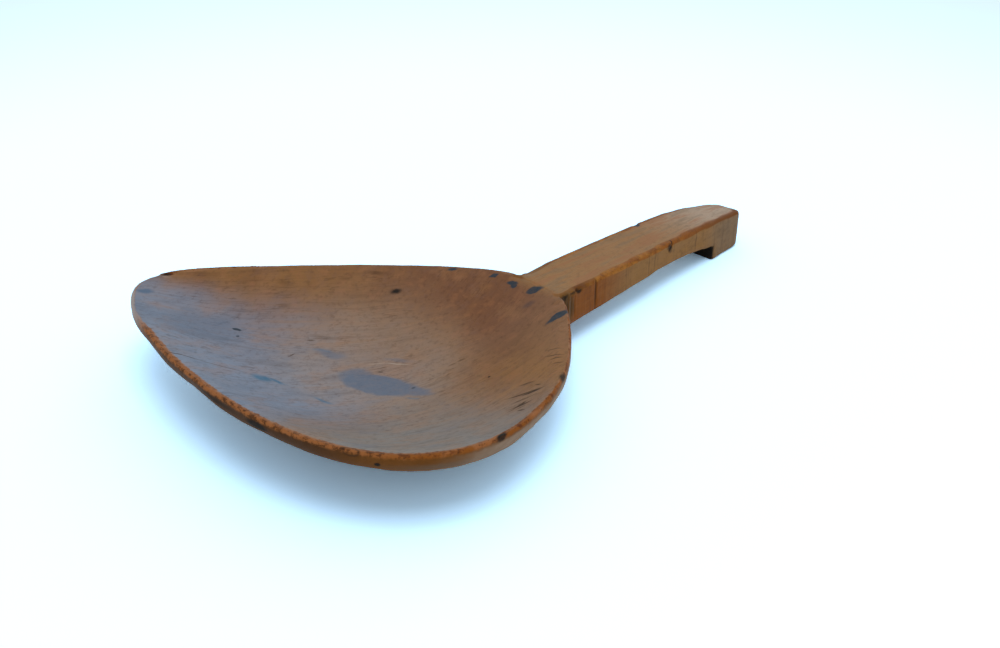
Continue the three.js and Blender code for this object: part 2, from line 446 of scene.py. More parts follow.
MARKS: dict[Stain, tuple[Mark, ...]] = {
    Stain.TORN: (
        Mark((67.4, -12.5, 17.5), (4.6, 2.2, 7.5), soft=0.3, share=0.8),
        Mark((63.5, -13.4, 17.0), (3.0, 2.4, 8.0), soft=0.4, share=0.9),
    ),
    Stain.DUSK: (
        Mark((-10.6, 11.6, 10.0), (14.6, 7.0, 8.0), -61, soft=0.16, share=0.76),
        Mark((-5.8, 2.6, 9.5), (10.5, 3.6, 8.0), -66, soft=0.3, share=0.72),
        Mark((-12.8, 20.4, 10.4), (6.5, 5.4, 8.0), -40, soft=0.3, share=0.66),
        Mark((-46.7, 102.1, 30.6), (3.0, 1.7, 4.0), -38, soft=0.5, share=0.95),
        Mark((-44.0, 75.0, 22.0), (17.0, 10.0, 12.0), -35, soft=0.5, share=0.45),
        Mark((-11.0, 37.7, 12.4), (5.4, 2.2, 6.0), -58, soft=0.5, share=0.5),
        Mark((6.5, 18.7, 9.7), (4.6, 1.0, 4.0), -54, soft=0.7, share=0.35),
        Mark((-58.0, 92.0, 30.0), (8.0, 6.0, 8.0), -60, soft=0.6, share=0.3),
    ),
    Stain.TEAL: (
        Mark((-45.6, 33.6, 19.3), (3.4, 2.2, 4.0), -60, soft=0.6, share=0.95),
        Mark((-42.0, 30.4, 17.8), (3.4, 1.0, 4.0), -60, soft=0.6, share=0.85),
        Mark((-36.0, 12.4, 14.6), (3.3, 1.1, 4.0), -70, soft=0.6, share=0.75),
        Mark((-12.0, 41.0, 13.2), (3.0, 0.7, 4.0), -50, soft=0.5, share=0.3),
        Mark((-8.6, -4.2, 9.7), (2.2, 0.7, 3.0), -60, soft=0.6, share=0.4),
    ),
    Stain.SLATE: (
        Mark.between((53.4, 33.2, 25.8), (50.4, 35.6, 25.7), 0.85),
        Mark.between((58.7, 20.3, 24.0), (61.8, 18.3, 25.0), 1.0, leaf=True),
        Mark((61.9, 10.7, 23.4), (2.3, 1.0, 3.0), -62),
        Mark((61.3, 9.5, 23.0), (1.4, 1.3, 2.4), 20),
        Mark.between((65.7, -1.8, 24.9), (60.9, 2.5, 22.5), 1.9, leaf=True),
        Mark.between((48.0, -19.0, 22.4), (57.0, -21.8, 26.3), 2.0, leaf=True),
        Mark((53.8, -20.8, 25.0), (2.4, 1.8, 3.0), -20),
        Mark((-30.8, 67.4, 19.6), (1.8, 0.8, 3.0), -53, soft=0.25),
        Mark((56.4, -2.8, 21.1), (2.6, 1.3, 3.0), -30, soft=0.6, share=0.35),
        Mark((141.5, 10.0, 20.6), (1.8, 1.6, 2.0), soft=0.3),
    ),
    Stain.SOOT: (
        Mark((-73.9, -0.8, 29.6), (4.6, 2.4, 1.5), 98, soft=0.35),
        Mark((-73.6, 20.0, 30.0), (10.0, 2.2, 1.0), 93, soft=0.7, share=0.75),
        Mark((-24.9, -63.0, 29.3), (2.5, 1.2, 1.4), 12, soft=0.4),
        Mark((18.4, -52.4, 27.0), (2.4, 1.3, 1.4), 20, soft=0.5, share=0.95),
        Mark((-60.4, -43.2, 27.6), (1.0, 1.0, 0.8), soft=0.4),
        Mark((63.6, -13.8, 23.4), (1.5, 0.9, 2.2), soft=0.5),
        Mark((75.5, -12.3, 23.4), (1.5, 1.1, 1.2), soft=0.5),
        Mark((29.3, 43.6, 20.6), (2.2, 1.0, 3.0), -32, soft=0.6, share=0.95),
        Mark((16.5, -18.9, 13.6), (0.6, 0.5, 1.0), soft=0.4, share=0.8),
        Mark((-3.6, 17.6, 9.4), (0.9, 0.5, 1.0), -40, soft=0.5, share=0.5),
        Mark((-2.9, 1.1, 9.1), (1.0, 0.5, 1.0), soft=0.5, share=0.5),
        Mark((-33.6, 63.4, 19.5), (0.7, 0.5, 1.0), soft=0.4, share=0.6),
        Mark.between((-35.0, 108.3, 30.6), (-31.2, 106.1, 30.0), 0.8, 0.9),
        Mark.between((139.0, -9.9, 21.4), (138.6, -11.3, 19.6), 0.45),
        Mark.between((138.6, -11.3, 19.6), (136.0, -11.7, 17.6), 0.45, 0.95),
        Mark.between((64.5, -12.4, 24.4), (68.4, -12.3, 24.2), 0.6, 0.8),
        Mark.between((70.0, -12.3, 24.2), (73.4, -12.2, 23.9), 0.4, 0.7),
    ),
    Stain.UMBER: (
        Mark.between((-69.5, 55.3, 32.3), (-60.7, 48.5, 27.6), 0.35, 0.7),
        Mark.between((-61.5, 49.2, 28.0), (-49.1, 38.9, 21.3), 0.28, 0.5),
        Mark.between((-25.7, 44.0, 14.9), (-21.9, 44.7, 14.4), 0.35, 0.6),
        Mark.between((86.3, -12.3, 24.2), (86.3, -12.3, 11.0), 0.6, 0.8),
        Mark.between((122.0, -11.9, 21.0), (122.0, -11.9, 12.0), 0.3, 0.5),
        Mark.between((126.3, -11.9, 21.0), (126.3, -11.9, 13.0), 0.3, 0.45),
        Mark.between((156.4, -11.6, 19.6), (156.4, -11.6, 11.0), 0.35, 0.5),
        Mark.between((64.9, -12.6, 22.5), (65.2, -12.6, 10.5), 0.3, 0.9),
        Mark.between((66.6, -12.6, 23.0), (66.8, -12.6, 12.0), 0.25, 0.9),
        Mark.between((68.3, -12.5, 22.6), (68.5, -12.5, 13.5), 0.25, 0.8),
        Mark.between((70.4, -12.5, 22.0), (70.6, -12.5, 14.5), 0.25, 0.7),
        Mark.between((72.4, -12.5, 20.0), (72.6, -12.5, 13.0), 0.22, 0.6),
        Mark.between((4.0, -39.5, 19.2), (10.5, -49.9, 25.5), 0.5, 0.95),
        Mark.between((6.0, -45.1, 22.2), (10.2, -49.9, 25.4), 0.55),
        Mark.between((12.2, -37.8, 19.9), (14.7, -42.3, 22.6), 0.42, 0.75),
        Mark.between((-3.2, -47.8, 22.2), (2.0, -51.7, 24.8), 0.55),
        Mark.between((-1.4, -48.6, 22.8), (1.9, -49.8, 23.8), 0.6),
        Mark.between((-4.5, -51.8, 24.0), (-4.0, -54.2, 25.3), 0.5, 0.85),
        Mark.between((12.3, -44.8, 23.3), (12.3, -47.1, 24.5), 0.4, 0.75),
        Mark.between((0.5, -44.5, 20.9), (6.5, -50.5, 24.9), 0.35, 0.55),
        Mark.between((-5.6, -48.4, 22.4), (-2.5, -49.1, 22.9), 0.35, 0.5),
        Mark.between((-3.2, -50.2, 23.4), (-1.0, -51.9, 24.5), 0.35, 0.6),
        Mark.between((1.6, -44.8, 21.3), (4.7, -48.3, 23.5), 0.3, 0.65),
        Mark.between((5.5, -43.8, 21.5), (8.2, -47.6, 23.8), 0.3, 0.75),
        Mark.between((15.5, 0.9, 10.1), (18.7, 0.2, 10.5), 0.35, 0.45),
        Mark.between((19.6, 0.0, 10.7), (22.4, -0.9, 11.2), 0.5, 0.5),
        Mark.between((28.8, -35.4, 23.2), (30.3, -41.8, 26.9), 0.35, 0.65),
        Mark.between((27.0, -39.0, 24.4), (29.0, -42.9, 27.0), 0.35, 0.7),
        Mark.between((32.7, -32.5, 23.1), (34.0, -38.4, 26.4), 0.32, 0.55),
        Mark.between((24.2, -42.4, 25.3), (26.0, -45.5, 27.1), 0.35, 0.65),
        Mark((-64.4, -35.7, 31.3), (3.1, 1.7, 1.7), -71, soft=0.2, share=0.9, hollow=0.75),
        Mark((-11.6, 47.8, 14.4), (1.2, 0.5, 2.0), -40, soft=0.6, share=0.6),
        Mark((-7.0, 46.6, 14.3), (4.0, 0.9, 3.0), -48, soft=0.8, share=0.3),
        Mark((28.9, 54.4, 25.5), (3.4, 0.7, 3.0), -47, soft=0.8, share=0.4),
        Mark((18.5, 60.8, 24.6), (2.0, 0.6, 3.0), -44, soft=0.8, share=0.25),
        Mark((-0.5, 75.8, 24.8), (2.2, 0.9, 3.0), -43, soft=0.8, share=0.3),
        Mark((-7.5, 68.0, 20.2), (2.2, 0.9, 3.0), -41, soft=0.8, share=0.3),
    ),
    Stain.PALE: (
        Mark.between((-3.8, 24.3, 10.1), (1.9, 20.7, 9.6), 0.25, 0.2),
        Mark.between((1.9, 20.7, 9.6), (7.0, 14.1, 9.3), 0.25, 0.35),
        Mark.between((65.7, -12.6, 22.5), (66.0, -12.6, 11.0), 0.25, 0.15),
        Mark.between((69.4, -12.5, 22.0), (69.7, -12.5, 13.0), 0.22, 0.15),
        Mark((-33.6, 105.8, 30.0), (2.0, 0.6, 1.0), -46, soft=0.5, share=0.12),
    ),
}


def together(tree: Tree, place: Link, marks: tuple[Mark, ...]) -> Link:
    """Join marks into one mask, by the greatest of them.

    Args:
        tree: The tree that gets the nodes.
        place: Where on the piece, in millimetres.
        marks: The marks, each joined as it is made, so that few values are held at once.

    Returns:
        The mask.
    """
    joined = marks[0].mask(tree, place)
    for mark in marks[1:]:
        joined = joined | mark.mask(tree, place)
    return joined


@dataclass(frozen=True)
class OldWood:
    """The finish of the scoop: bare wood with a hand-worn patina, with painted sheen in the hollow,
    a painted highlight at the tip and painted shade in the hook and the sunk corners.
    """

    honey: Colour = srgb(126, 88, 52)
    russet: Colour = srgb(111, 74, 51)
    umber: Colour = srgb(62, 41, 28)
    straw: Colour = srgb(144, 102, 60)
    rosy: Colour = srgb(140, 92, 60)
    mauve: Colour = srgb(110, 82, 74)
    ash: Colour = srgb(126, 121, 118)
    pewter: Colour = srgb(120, 129, 146)
    bone: Colour = srgb(132, 112, 94)
    tan: Colour = srgb(146, 107, 66)
    bleached: Colour = srgb(166, 146, 128)
    stone: Colour = srgb(158, 138, 116)
    rust: Colour = srgb(122, 68, 14)
    olive: Colour = srgb(134, 98, 52)
    dun: Colour = srgb(112, 94, 74)
    sienna: Colour = srgb(92, 60, 30)
    torn: Colour = srgb(78, 58, 30)
    amber: Colour = srgb(126, 70, 16)
    flame: Colour = srgb(147, 95, 58)
    gold: Colour = srgb(156, 104, 42)
    peach: Colour = srgb(148, 106, 74)
    blush: Colour = srgb(146, 138, 136)
    rusty: Colour = srgb(84, 38, 8)
    brown: Colour = srgb(94, 57, 14)
    drab: Colour = srgb(92, 74, 58)
    burnt: Colour = srgb(54, 32, 14)
    slate: Colour = srgb(46, 54, 63)
    dusk: Colour = srgb(82, 99, 121)
    teal: Colour = srgb(66, 102, 128)
    chalk: Colour = srgb(196, 184, 170)
    soot: Colour = srgb(20, 17, 15)
    gloss: float = 0.1
    roughness: float = 0.42
    mottle_dulls: float = 0.14
    bruise_dulls: float = 0.08
    relief: float = 0.12 * MM
    relief_strength: float = 0.5

    def material(self) -> bpy.types.Material:
        """Make the material.

        Returns:
            The finished material.
        """
        material = bpy.data.materials.new("old_wood")
        tree = Tree(material)
        metres = tree.node("TexCoord", {}, {}, "Object")
        place = tree.vector("MULTIPLY", metres, (1 / MM, 1 / MM, 1 / MM))
        mottle = tree.noise(place, (19, 12, 16), 3, 0.6)
        colour = self._ground(tree, place, mottle)
        colour, height = self._grain(tree, place, colour)
        colour = self._edges(tree, place, colour)
        colour, bruised, scratched = self._marks(tree, place, colour)
        height = height - scratched
        bump = tree.node(
            "Bump",
            {},
            {"Strength": self.relief_strength, "Distance": self.relief, "Height": height},
        )
        dulled = mottle * self.mottle_dulls + bruised * self.bruise_dulls
        shader = tree.node(
            "BsdfPrincipled",
            {},
            {
                "Base Color": colour,
                "Roughness": self.roughness + dulled,
                "Specular IOR Level": self.gloss,
                "Normal": bump,
            },
        )
        tree.node("OutputMaterial", {}, {"Surface": shader})
        return material

    def _ground(self, tree: Tree, place: Link, mottle: Link) -> Link:
        """Lay the broad colours: golden, red and tan by where the wood was handled, and a grey-blue
        in the hollow that is partly patina and partly painted sheen.

        Args:
            tree: The tree that gets the nodes.
            place: Where on the piece, in millimetres.
            mottle: Noise of middling size.

        Returns:
            The colour.
        """
        loose = tree.wander(place, 28, (7, 7, 4))
        along, across, _ = tree.split(loose)
        dish, handle, top, belly = (
            tree.attribute(name) for name in ("dish", "handle", "top", "belly")
        )
        colour = tree.mix(along.rise(5, 45) * across.rise(-25, 10), self.honey, self.russet)
        colour = tree.mix(across.fall(-42, -6) * 0.5, colour, self.straw)
        colour = tree.mix(mottle.rise(0.48, 0.72) * 0.4, colour, self.russet)
        colour = tree.mix(mottle.rise(0.5, 0.28) * 0.3, colour, self.straw)
        hue = tree.noise(place, (6, 4.5, 5), 4, 0.65)
        colour = tree.mix(hue.rise(0.5, 0.66) * 0.35, colour, self.rosy)
        flushed = along.rise(15, 50) * across.fall(-8, 14)
        colour = tree.mix((flushed * 0.3) | (hue.rise(0.5, 0.34) * 0.2), colour, self.mauve)

        # The grey-blue at the front of the hollow and the grey of its near half are partly patina
        # and partly painted sheen
        off_middle = across - 25
        front = along + off_middle * off_middle * 0.002
        ahead, aside = FAR_HEADING
        far = along * ahead + across * aside + ((along + 15) & 0.0) * 0.6
        cool = front.fall(-60, 45) * far.fall(38, 60)
        greyed = across.fall(-30, 12)
        colour = tree.mix(dish * cool * (1 - greyed) * (0.8 + mottle * 0.4), colour, self.pewter)
        dulled = dish * greyed * along.fall(-30, 25)
        colour = tree.mix(dulled * (0.75 + mottle * 0.4), colour, self.ash)
        middle = tree.vector("DISTANCE", loose, (-4.0, 22.0, 12.0)).fall(22, 50)
        colour = tree.mix(dish * middle * 0.3, colour, self.stone)
        tint = tree.noise(place, (15, 11, 12), 4, 0.6)
        colour = tree.mix(dish * tint.rise(0.5, 0.64) * 0.2, colour, self.peach)
        colour = tree.mix(dish * tint.rise(0.5, 0.36) * cool * 0.25, colour, self.dusk)
        colour = tree.mix(belly * along.rise(-62, -38) * 0.85, colour, self.bone)
        colour = tree.mix(belly * along.fall(-62, -38) * 0.9, colour, self.sienna)

        colour = tree.mix(handle * top * 0.85, colour, self.tan)
        # The top gets paler and the side greyer towards the handle's end
        colour = tree.mix(handle * top * along.rise(130, 185) * 0.85, colour, self.bleached)
        beside = handle * (1 - top)
        colour = tree.mix(beside * along.fall(90, 112) * 0.97, colour, self.rust)
        colour = tree.mix(beside * along.rise(90, 112) * 0.85, colour, self.olive)
        return tree.mix(beside * along.rise(158, 182) * 0.75, colour, self.dun)

    def _grain(self, tree: Tree, place: Link, colour: Link) -> tuple[Link, Link]:
        """Draw the fibres of the wood over a colour.

        Args:
            tree: The tree that gets the nodes.
            place: Where on the piece, in millimetres.
            colour: The colour under the grain.

        Returns:
            The streaked colour, and the grain's height.
        """
        along = tree.split(place)[0]
        handle, top = (tree.attribute(name) for name in ("handle", "top"))
        lines = tree.wander(self._fibres(tree, place), 24, (0, 1.6, 1.2))
        streak = tree.noise(lines, (26, 2.6, 3.4), 3, 0.6)
        fibre = tree.noise(lines, (7, 0.6, 1.1), 3, 0.65)
        pocked = tree.noise(place, (15, 10, 12)).rise(0.42, 0.58)
        pores = tree.noise(lines, (3.6, 0.6, 0.9), 1).rise(0.6, 0.7) * pocked
        speck = tree.noise(place, (2.4, 1.8, 1.8), 3, 0.7)
        sawn = tree.noise(place, (1.3, 5, 18), 2, 0.6)
        rubbed = tree.noise(lines, (24, 5.5, 5), 3, 0.6)

        plain = along.rise(5, 45, 1.0, 0.6)
        colour = tree.mix(streak.rise(0.5, 0.74) * plain * 0.24, colour, self.umber)
        colour = tree.mix(streak.rise(0.5, 0.28) * plain * 0.2, colour, self.straw)
        colour = tree.mix(fibre.rise(0.5, 0.78) * plain * (0.2 + pocked * 0.1), colour, self.umber)
        colour = tree.mix(speck.rise(0.48, 0.75) * 0.3, colour, self.umber)
        colour = tree.mix(pores * (0.28 - handle * 0.2), colour, self.burnt)
        colour = tree.mix(handle * top * rubbed.rise(0.48, 0.62) * 0.55, colour, self.rosy)
        colour = tree.mix(handle * top * rubbed.rise(0.5, 0.36) * 0.4, colour, self.dun)
        beside = handle * (1 - top)
        colour = tree.mix(beside * sawn.rise(0.52, 0.75) * 0.25, colour, self.umber)
        colour = tree.mix(beside * sawn.rise(0.48, 0.28) * 0.2, colour, self.straw)
        return colour, fibre * 0.6 + streak * 0.4 - pores * 0.4

    @staticmethod
    def _fibres(tree: Tree, place: Link) -> Link:
        """Lay out the grain: level with the far rim in the bowl, turning along the handle.

        Args:
            tree: The tree that gets the nodes.
            place: Where on the piece, in millimetres.

        Returns:
            Places whose X runs along the fibres.
        """
        along, across, up = tree.split(place)
        held = along & 40.0
        lean = (held * 0.45 + across * 0.9).rise(0, 55, 0.29, 0.81)
        rows = across + held * lean
        layers = up * (tree.attribute("handle") * 0.9 + 0.06)
        return tree.node("CombineXYZ", {}, {"X": along, "Y": rows, "Z": layers})

    def _edges(self, tree: Tree, place: Link, colour: Link) -> Link:
        """Wear the crown of the rim and the handle's edges to amber, darken the outer face, paint a
        highlight on the tip's crown, and paint shade in the hook and the sunk corners.

        Args:
            tree: The tree that gets the nodes.
            place: Where on the piece, in millimetres.
            colour: The colour under the wear.

        Returns:
            The worn colour.
        """
        crown, face, depth, tip = (
            tree.attribute(name) for name in ("crown", "face", "depth", "tip")
        )
        along = tree.split(place)[0]
        fleck = tree.noise(place, (2.4, 2.4, 1.8), 4, 0.75)
        patch = tree.noise(place, (8, 8, 5), 3)
        stained = fleck.rise(0.48, 0.6)
        pitted = tree.noise(place, (1.3, 1.3, 1.1), 2).rise(0.62, 0.7)
        ragged = fleck * 2.0 - 1.0
        around = crown.rise(0.0, 0.04)
        worn = around * (crown + ragged * 0.5).rise(0.02, 0.2)
        left = along.fall(-66, -50)
        colour = tree.mix(worn * 0.95, colour, self.amber)
        colour = tree.mix(worn * (patch.rise(0.46, 0.62) | (left * 0.8)) * 0.7, colour, self.flame)
        thin = around * crown.fall(0.15, 0.4) * patch.rise(0.3, 0.55)
        colour = tree.mix(thin * 0.5, colour, self.peach)
        rusted = worn * stained * patch.rise(0.62, 0.4, 0.5, 0.85) * (1 - left * 0.3)
        colour = tree.mix(rusted, colour, self.rusty)
        scorched = worn * (pitted | (stained * left * crown.rise(0.3, 0.6))) * 0.65
        colour = tree.mix(scorched, colour, self.burnt)

        low = depth + ragged
        colour = tree.mix(face * low.rise(0.5, 1.9) * 0.9, colour, self.brown)
        colour = tree.mix(face * low.rise(2.8, 4.6) * along.rise(-64, -46) * 0.8, colour, self.drab)
        colour = tree.mix(face * low.rise(0.5, 1.6) * along.fall(-72, -60) * 0.8, colour, self.burnt)
        bared = face * low.rise(0.8, 2.8) * along.rise(-50, -26)
        colour = tree.mix(bared * patch.rise(0.35, 0.6, 0.7, 1.0), colour, self.bone)
        # Painted highlight: the worn crown at the tip is lightened where the rounded rim catches the
        # light
        colour = tree.mix(tip * worn * 0.92, colour, self.blush)

        edge = tree.attribute("arris").rise(0.15, 0.5)
        colour = tree.mix(edge * (0.7 + patch * 0.5), colour, self.amber)
        gilded = edge * patch.rise(0.4, 0.6) * along.fall(118, 165)
        colour = tree.mix(gilded * 0.75, colour, self.gold)
        browned = (stained * 0.5) | (along.fall(78, 90) * 0.7) | (along.rise(140, 182) * 0.55)
        colour = tree.mix(edge * browned * 0.7, colour, self.burnt)
        # Painted shade: the hook's inner face and the sunk corners are darkened to near black, with
        # some grime in the corners
        return tree.mix(tree.attribute("grime"), colour, self.soot)

    def _marks(self, tree: Tree, place: Link, colour: Link) -> tuple[Link, Link, Link]:
        """Add the stains, bruises and scratches.

        Args:
            tree: The tree that gets the nodes.
            place: Where on the piece, in millimetres.
            colour: The colour under them.

        Returns:
            The marked colour, where the wood is stained, and where it is scratched.
        """
        frayed = tree.wander(place, 1.8, (0.45, 0.45, 0.3))
        torn = tree.wander(place, 5.0, (1.8, 1.4, 1.0))
        scored = tree.wander(place, 4.0, (0.3, 0.3, 0.2))
        tints = {
            Stain.TORN: (self.torn, torn),
            Stain.DUSK: (self.dusk, torn),
            Stain.TEAL: (self.teal, torn),
            Stain.SLATE: (self.slate, frayed),
            Stain.SOOT: (self.soot, frayed),
            Stain.UMBER: (self.burnt, scored),
            Stain.PALE: (self.chalk, scored),
        }
        uneven = tree.noise(place, (2.2, 2.2, 2.2), 3, 0.7).rise(0.3, 0.6, 0.84, 1.0)
        dish = tree.attribute("dish")
        masks = {}
        for stain, marks in MARKS.items():
            tint, ground = tints[stain]
            strength = uneven * dish if stain in (Stain.DUSK, Stain.TEAL) else uneven
            masks[stain] = together(tree, ground, marks) * strength
            colour = tree.mix(masks[stain], colour, tint)
        return colour, masks[Stain.SLATE] | masks[Stain.SOOT], masks[Stain.UMBER]


class Surface:
    """The vertices of one mesh as arrays in millimetres, for strokes that move many at once."""

    rub: float = 0.5
    swell: float = 0.53

    def __init__(self, piece: bpy.types.Object) -> None:
        """Read a mesh."""
        self.mesh = piece.data
        self.count = len(self.mesh.vertices)
        self.points = np.zeros(self.count * 3)
        self.mesh.vertices.foreach_get("co", self.points)
        self.points = self.points.reshape(-1, 3) / MM
        ends = np.zeros(len(self.mesh.edges) * 2, np.int32)
        self.mesh.edges.foreach_get("vertices", ends)
        self.start, self.end = ends.reshape(-1, 2).T
        self.valence = np.bincount(ends, minlength=self.count)

    def around(self, values: np.ndarray) -> np.ndarray:
        """Average a value over each vertex's neighbours.

        Args:
            values: One row for each vertex.

        Returns:
            The averages, in the same shape.
        """
        columns = values.reshape(self.count, -1).T
        means = [
            (
                np.bincount(self.start, column[self.end], self.count)
                + np.bincount(self.end, column[self.start], self.count)
            ) / self.valence
            for column in columns
        ]
        return np.stack(means, axis=1).reshape(values.shape)

    def even(self, passes: int) -> None:
        """Take out ripples without shrinking the form.

        Args:
            passes: How many times to smooth and swell back.
        """
        for _ in range(passes):
            self.points += self.rub * (self.around(self.points) - self.points)
            self.points -= self.swell * (self.around(self.points) - self.points)

    def soothe(self, weight: np.ndarray, passes: int) -> None:
        """Rub a place smooth.

        Args:
            weight: How much each vertex gives way, from 0 to 1.
            passes: How many times to rub.
        """
        for _ in range(passes):
            self.points += self.rub * weight[:, None] * (self.around(self.points) - self.points)

    def press(self, depth: np.ndarray) -> None:
        """Push each vertex straight into the wood by its own depth."""
        self.points -= self.normals() * depth[:, None]

    def normals(self) -> np.ndarray:
        """Give the outward direction at each vertex."""
        self.write()
        found = np.zeros(self.count * 3, np.float32)
        self.mesh.vertex_normals.foreach_get("vector", found)
        return found.reshape(-1, 3).astype(float)

    def write(self) -> None:
        """Put the points back in the mesh."""
        self.mesh.vertices.foreach_set("co", (self.points * MM).astype(np.float32).ravel())
        self.mesh.update()

    def keep(self, name: str, values: np.ndarray) -> None:
        """Store a number for each vertex, for the finish to read.

        Args:
            name: The attribute's name.
            values: One number for each vertex.
        """
        layer = self.mesh.attributes.get(name) or self.mesh.attributes.new(name, "FLOAT", "POINT")
        layer.data.foreach_set("value", values.astype(np.float32))

    def kept(self, name: str) -> np.ndarray:
        """Read back a stored number."""
        values = np.zeros(self.count, np.float32)
        self.mesh.attributes[name].data.foreach_get("value", values)
        return values.astype(float)


@dataclass(frozen=True)
class Cut:
    """A split, groove or nick along a line. Lengths are millimetres."""

    start: Place
    end: Place
    width: float
    depth: float

    def depths(self, points: np.ndarray) -> np.ndarray:
        """Give how deep the cut goes at each point.

        Args:
            points: One place in each row.

        Returns:
            The depths.
        """
        start, end = np.array(self.start), np.array(self.end)
        run = end - start
        share = np.clip((points - start) @ run / (run @ run), 0, 1)
        off = np.linalg.norm(points - start - share[:, None] * run, axis=1) / self.width
        return self.depth * np.clip(1 - off * off, 0, 1) ** 2


CUTS = (
    Cut((-34.4, 107.9, 30.5), (-31.2, 106.1, 30.0), 0.9, 0.7),
    Cut((64.9, -12.6, 22.8), (65.2, -12.6, 10.5), 0.8, 0.55),
    Cut((66.6, -12.6, 23.4), (66.8, -12.6, 12.0), 0.75, 0.5),
    Cut((68.3, -12.5, 23.2), (68.5, -12.5, 13.5), 0.75, 0.45),
    Cut((70.4, -12.5, 22.6), (70.6, -12.5, 14.5), 0.7, 0.35),
    Cut((72.4, -12.5, 22.0), (72.6, -12.5, 13.0), 0.7, 0.3),
    Cut((86.3, -12.4, 25.0), (86.3, -12.4, 10.0), 1.0, 0.5),
    Cut((64.4, -12.3, 24.7), (67.6, -12.3, 24.5), 1.0, 0.6),
    Cut((70.2, -12.3, 24.4), (71.4, -12.2, 24.3), 0.9, 0.4),
    Cut((74.4, -12.2, 24.0), (76.4, -12.2, 23.9), 1.4, 1.2),
    Cut((79.6, -12.2, 23.8), (81.0, -12.2, 23.7), 0.9, 0.35),
    Cut((140.6, 11.6, 20.8), (142.4, 11.4, 20.7), 1.6, 0.7),
    Cut((138.8, -11.4, 20.6), (135.8, -12.0, 17.6), 0.7, 0.4),
)


@dataclass(frozen=True)
class Zone:
    """A part of the carving with soft borders. Lengths are millimetres.

    Each border is a pair: where the zone starts, and where it is full. A border's name begins with
    the measure that it is for: a place, the distance in from the rim's outer face, under the planed
    top or towards the far rim, or how much the surface faces up or ahead.
    """

    x_from: Span | None = None
    x_to: Span | None = None
    y_from: Span | None = None
    y_to: Span | None = None
    z_from: Span | None = None
    z_to: Span | None = None
    inset: Span | None = None
    below: Span | None = None
    far: Span | None = None
    up: Span | None = None
    ahead: Span | None = None

    def share(self, at: dict[str, np.ndarray]) -> np.ndarray:
        """Give how far inside the zone each vertex is.

        Args:
            at: The carving's measures by name, with one number for each vertex.

        Returns:
            An array of shares from 0 to 1.
        """
        share = np.ones(len(at["x"]))
        for name, border in vars(self).items():
            if border:
                share *= ease(at[name.split("_")[0]], *border)
        return share


@dataclass(frozen=True)
class Wave:
    """Unevenness of one length, with more of it on the underside. Lengths are millimetres."""

    length: float
    seed: int
    everywhere: float
    more_under: float

    def heights(self, points: np.ndarray, under: np.ndarray) -> np.ndarray:
        """Give how deep the unevenness is at each point.

        Args:
            points: One place in each row.
            under: How far each point is on the underside, from 0 to 1.

        Returns:
            The depths, as shares of the unevenness.
        """
        return ripple(points, self.length, self.seed) * (self.everywhere + self.more_under * under)


